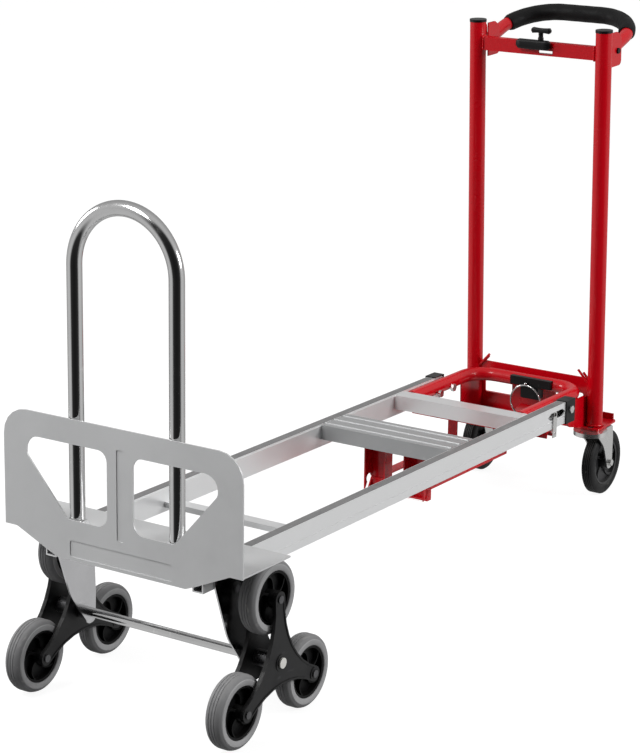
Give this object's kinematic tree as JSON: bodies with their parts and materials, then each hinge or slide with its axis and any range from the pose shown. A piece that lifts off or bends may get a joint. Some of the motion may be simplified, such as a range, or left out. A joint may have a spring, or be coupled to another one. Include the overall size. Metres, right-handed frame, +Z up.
{
  "type": "stair climbing trolley",
  "caption": "Long folding platform trolley with a toe plate and loop, turning stair-wheel clusters at one end and a red handle frame on swivel casters at the other.",
  "frame": {"origin": "on the floor under the middle of the whole object", "axes": "+X along the deck from the toe plate to the handle, +Y to the left when looking along +X, +Z up"},
  "size_m": [1.583, 0.475, 0.9597],
  "materials": {
    "alloy": "satin anodised",
    "toe_plate": "matte",
    "bright_steel": "polished",
    "zinc": "zinc plated",
    "red_paint": "gloss powder coat",
    "black_plastic": "satin",
    "spider_plastic": "satin",
    "grey_tyre": "matt",
    "black_tyre": "matt",
    "foam": "matt foam"
  },
  "bodies": {
    "deck": {"rail_left": "alloy", "rail_right": "alloy", "front_rung": "alloy", "ribbed_step": "alloy", "rear_rung": "alloy", "toe_plate": "toe_plate", "loop_lugs": "toe_plate", "loop_pins": "bright_steel", "axle_bracket_left": "bright_steel", "axle_bracket_right": "bright_steel", "main_axle": "bright_steel", "axle_caps": "bright_steel", "deck_bolts": "bright_steel", "rail_end_caps": "black_plastic", "under_frame": "red_paint", "under_frame_links": "bright_steel", "pivot_bolts": "bright_steel"},
    "toe_loop": {"toe_loop": "bright_steel"},
    "cluster_left": {"spider_outer_left": "spider_plastic", "spider_inner_left": "spider_plastic", "wheel_pins_left": "bright_steel"},
    "cluster_right": {"spider_outer_right": "spider_plastic", "spider_inner_right": "spider_plastic", "wheel_pins_right": "bright_steel"},
    "stair_wheel_top_left": {"tyre_top_left": "grey_tyre", "hub_top_left": "black_plastic"},
    "stair_wheel_front_left": {"tyre_front_left": "grey_tyre", "hub_front_left": "black_plastic"},
    "stair_wheel_rear_left": {"tyre_rear_left": "grey_tyre", "hub_rear_left": "black_plastic"},
    "stair_wheel_top_right": {"tyre_top_right": "grey_tyre", "hub_top_right": "black_plastic"},
    "stair_wheel_front_right": {"tyre_front_right": "grey_tyre", "hub_front_right": "black_plastic"},
    "stair_wheel_rear_right": {"tyre_rear_right": "grey_tyre", "hub_rear_right": "black_plastic"},
    "handle_frame": {"u_tube": "red_paint", "base_plate": "red_paint", "back_plate": "red_paint", "corner_webs": "red_paint", "strap_prongs": "red_paint", "post_left": "red_paint", "post_right": "red_paint", "post_caps": "black_plastic", "crossbar": "red_paint", "bow_brackets": "red_paint", "bow_handle": "red_paint", "bow_bolts": "black_plastic", "foam_grip": "foam", "ring_housing": "black_plastic", "latch_body": "black_plastic"},
    "pull_ring": {"pull_ring": "bright_steel"},
    "lock_pin_left": {"lock_pin_left": "bright_steel"},
    "lock_pin_right": {"lock_pin_right": "bright_steel"},
    "latch_knob": {"latch_knob": "black_plastic"},
    "caster_fork_left": {"caster_fork_left": "zinc"},
    "caster_fork_right": {"caster_fork_right": "zinc"},
    "caster_wheel_left": {"caster_wheel_left": "black_tyre"},
    "caster_wheel_right": {"caster_wheel_right": "black_tyre"}
  },
  "joints": [
    {"name": "toe_loop_fold", "type": "hinge", "parent": "deck", "child": "toe_loop", "pos_m": [-0.72888, 0, 0.31158], "axis": [0, 1, 0], "range_deg": [0, 88]},
    {"name": "cluster_spin_left", "type": "hinge", "parent": "deck", "child": "cluster_left", "pos_m": [-0.63646, 0.2036, 0.1155], "axis": [0, 1, 0], "continuous": true},
    {"name": "wheel_spin_top_left", "type": "hinge", "parent": "cluster_left", "child": "stair_wheel_top_left", "pos_m": [-0.63646, 0.2036, 0.2235], "axis": [0, 1, 0], "continuous": true},
    {"name": "wheel_spin_front_left", "type": "hinge", "parent": "cluster_left", "child": "stair_wheel_front_left", "pos_m": [-0.72999, 0.2036, 0.0615], "axis": [0, 1, 0], "continuous": true},
    {"name": "wheel_spin_rear_left", "type": "hinge", "parent": "cluster_left", "child": "stair_wheel_rear_left", "pos_m": [-0.54293, 0.2036, 0.0615], "axis": [0, 1, 0], "continuous": true},
    {"name": "cluster_spin_right", "type": "hinge", "parent": "deck", "child": "cluster_right", "pos_m": [-0.63646, -0.2036, 0.1155], "axis": [0, 1, 0], "continuous": true},
    {"name": "wheel_spin_top_right", "type": "hinge", "parent": "cluster_right", "child": "stair_wheel_top_right", "pos_m": [-0.63646, -0.2036, 0.2235], "axis": [0, 1, 0], "continuous": true},
    {"name": "wheel_spin_front_right", "type": "hinge", "parent": "cluster_right", "child": "stair_wheel_front_right", "pos_m": [-0.72999, -0.2036, 0.0615], "axis": [0, 1, 0], "continuous": true},
    {"name": "wheel_spin_rear_right", "type": "hinge", "parent": "cluster_right", "child": "stair_wheel_rear_right", "pos_m": [-0.54293, -0.2036, 0.0615], "axis": [0, 1, 0], "continuous": true},
    {"name": "handle_fold", "type": "hinge", "parent": "deck", "child": "handle_frame", "pos_m": [0.45464, 0, 0.22764], "axis": [0, 1, 0], "range_deg": [0, 86]},
    {"name": "ring_pull", "type": "slide", "parent": "handle_frame", "child": "pull_ring", "axis": [-1, 0, 0], "range_m": [0, 0.012], "stiffness_N_per_m": 300},
    {"name": "lock_pin_slide_left", "type": "slide", "parent": "handle_frame", "child": "lock_pin_left", "axis": [0, -1, 0], "range_m": [0, 0.012], "stiffness_N_per_m": 300},
    {"name": "lock_pin_slide_right", "type": "slide", "parent": "handle_frame", "child": "lock_pin_right", "axis": [0, 1, 0], "range_m": [0, 0.012], "stiffness_N_per_m": 300},
    {"name": "latch_pull", "type": "slide", "parent": "handle_frame", "child": "latch_knob", "axis": [0, 0, 1], "range_m": [0, 0.01], "stiffness_N_per_m": 250},
    {"name": "caster_swivel_left", "type": "hinge", "parent": "handle_frame", "child": "caster_fork_left", "pos_m": [0.58154, 0.139, 0.14], "axis": [0, 0, 1], "continuous": true},
    {"name": "caster_spin_left", "type": "hinge", "parent": "caster_fork_left", "child": "caster_wheel_left", "pos_m": [0.63154, 0.139, 0.066], "axis": [0, 1, 0], "continuous": true},
    {"name": "caster_swivel_right", "type": "hinge", "parent": "handle_frame", "child": "caster_fork_right", "pos_m": [0.58154, -0.139, 0.14], "axis": [0, 0, 1], "continuous": true},
    {"name": "caster_spin_right", "type": "hinge", "parent": "caster_fork_right", "child": "caster_wheel_right", "pos_m": [0.63154, -0.139, 0.066], "axis": [0, 1, 0], "continuous": true}
  ],
  "couplings": [
    {"joint": "lock_pin_slide_left", "follows": "ring_pull", "ratio": 1},
    {"joint": "lock_pin_slide_right", "follows": "ring_pull", "ratio": 1}
  ]
}
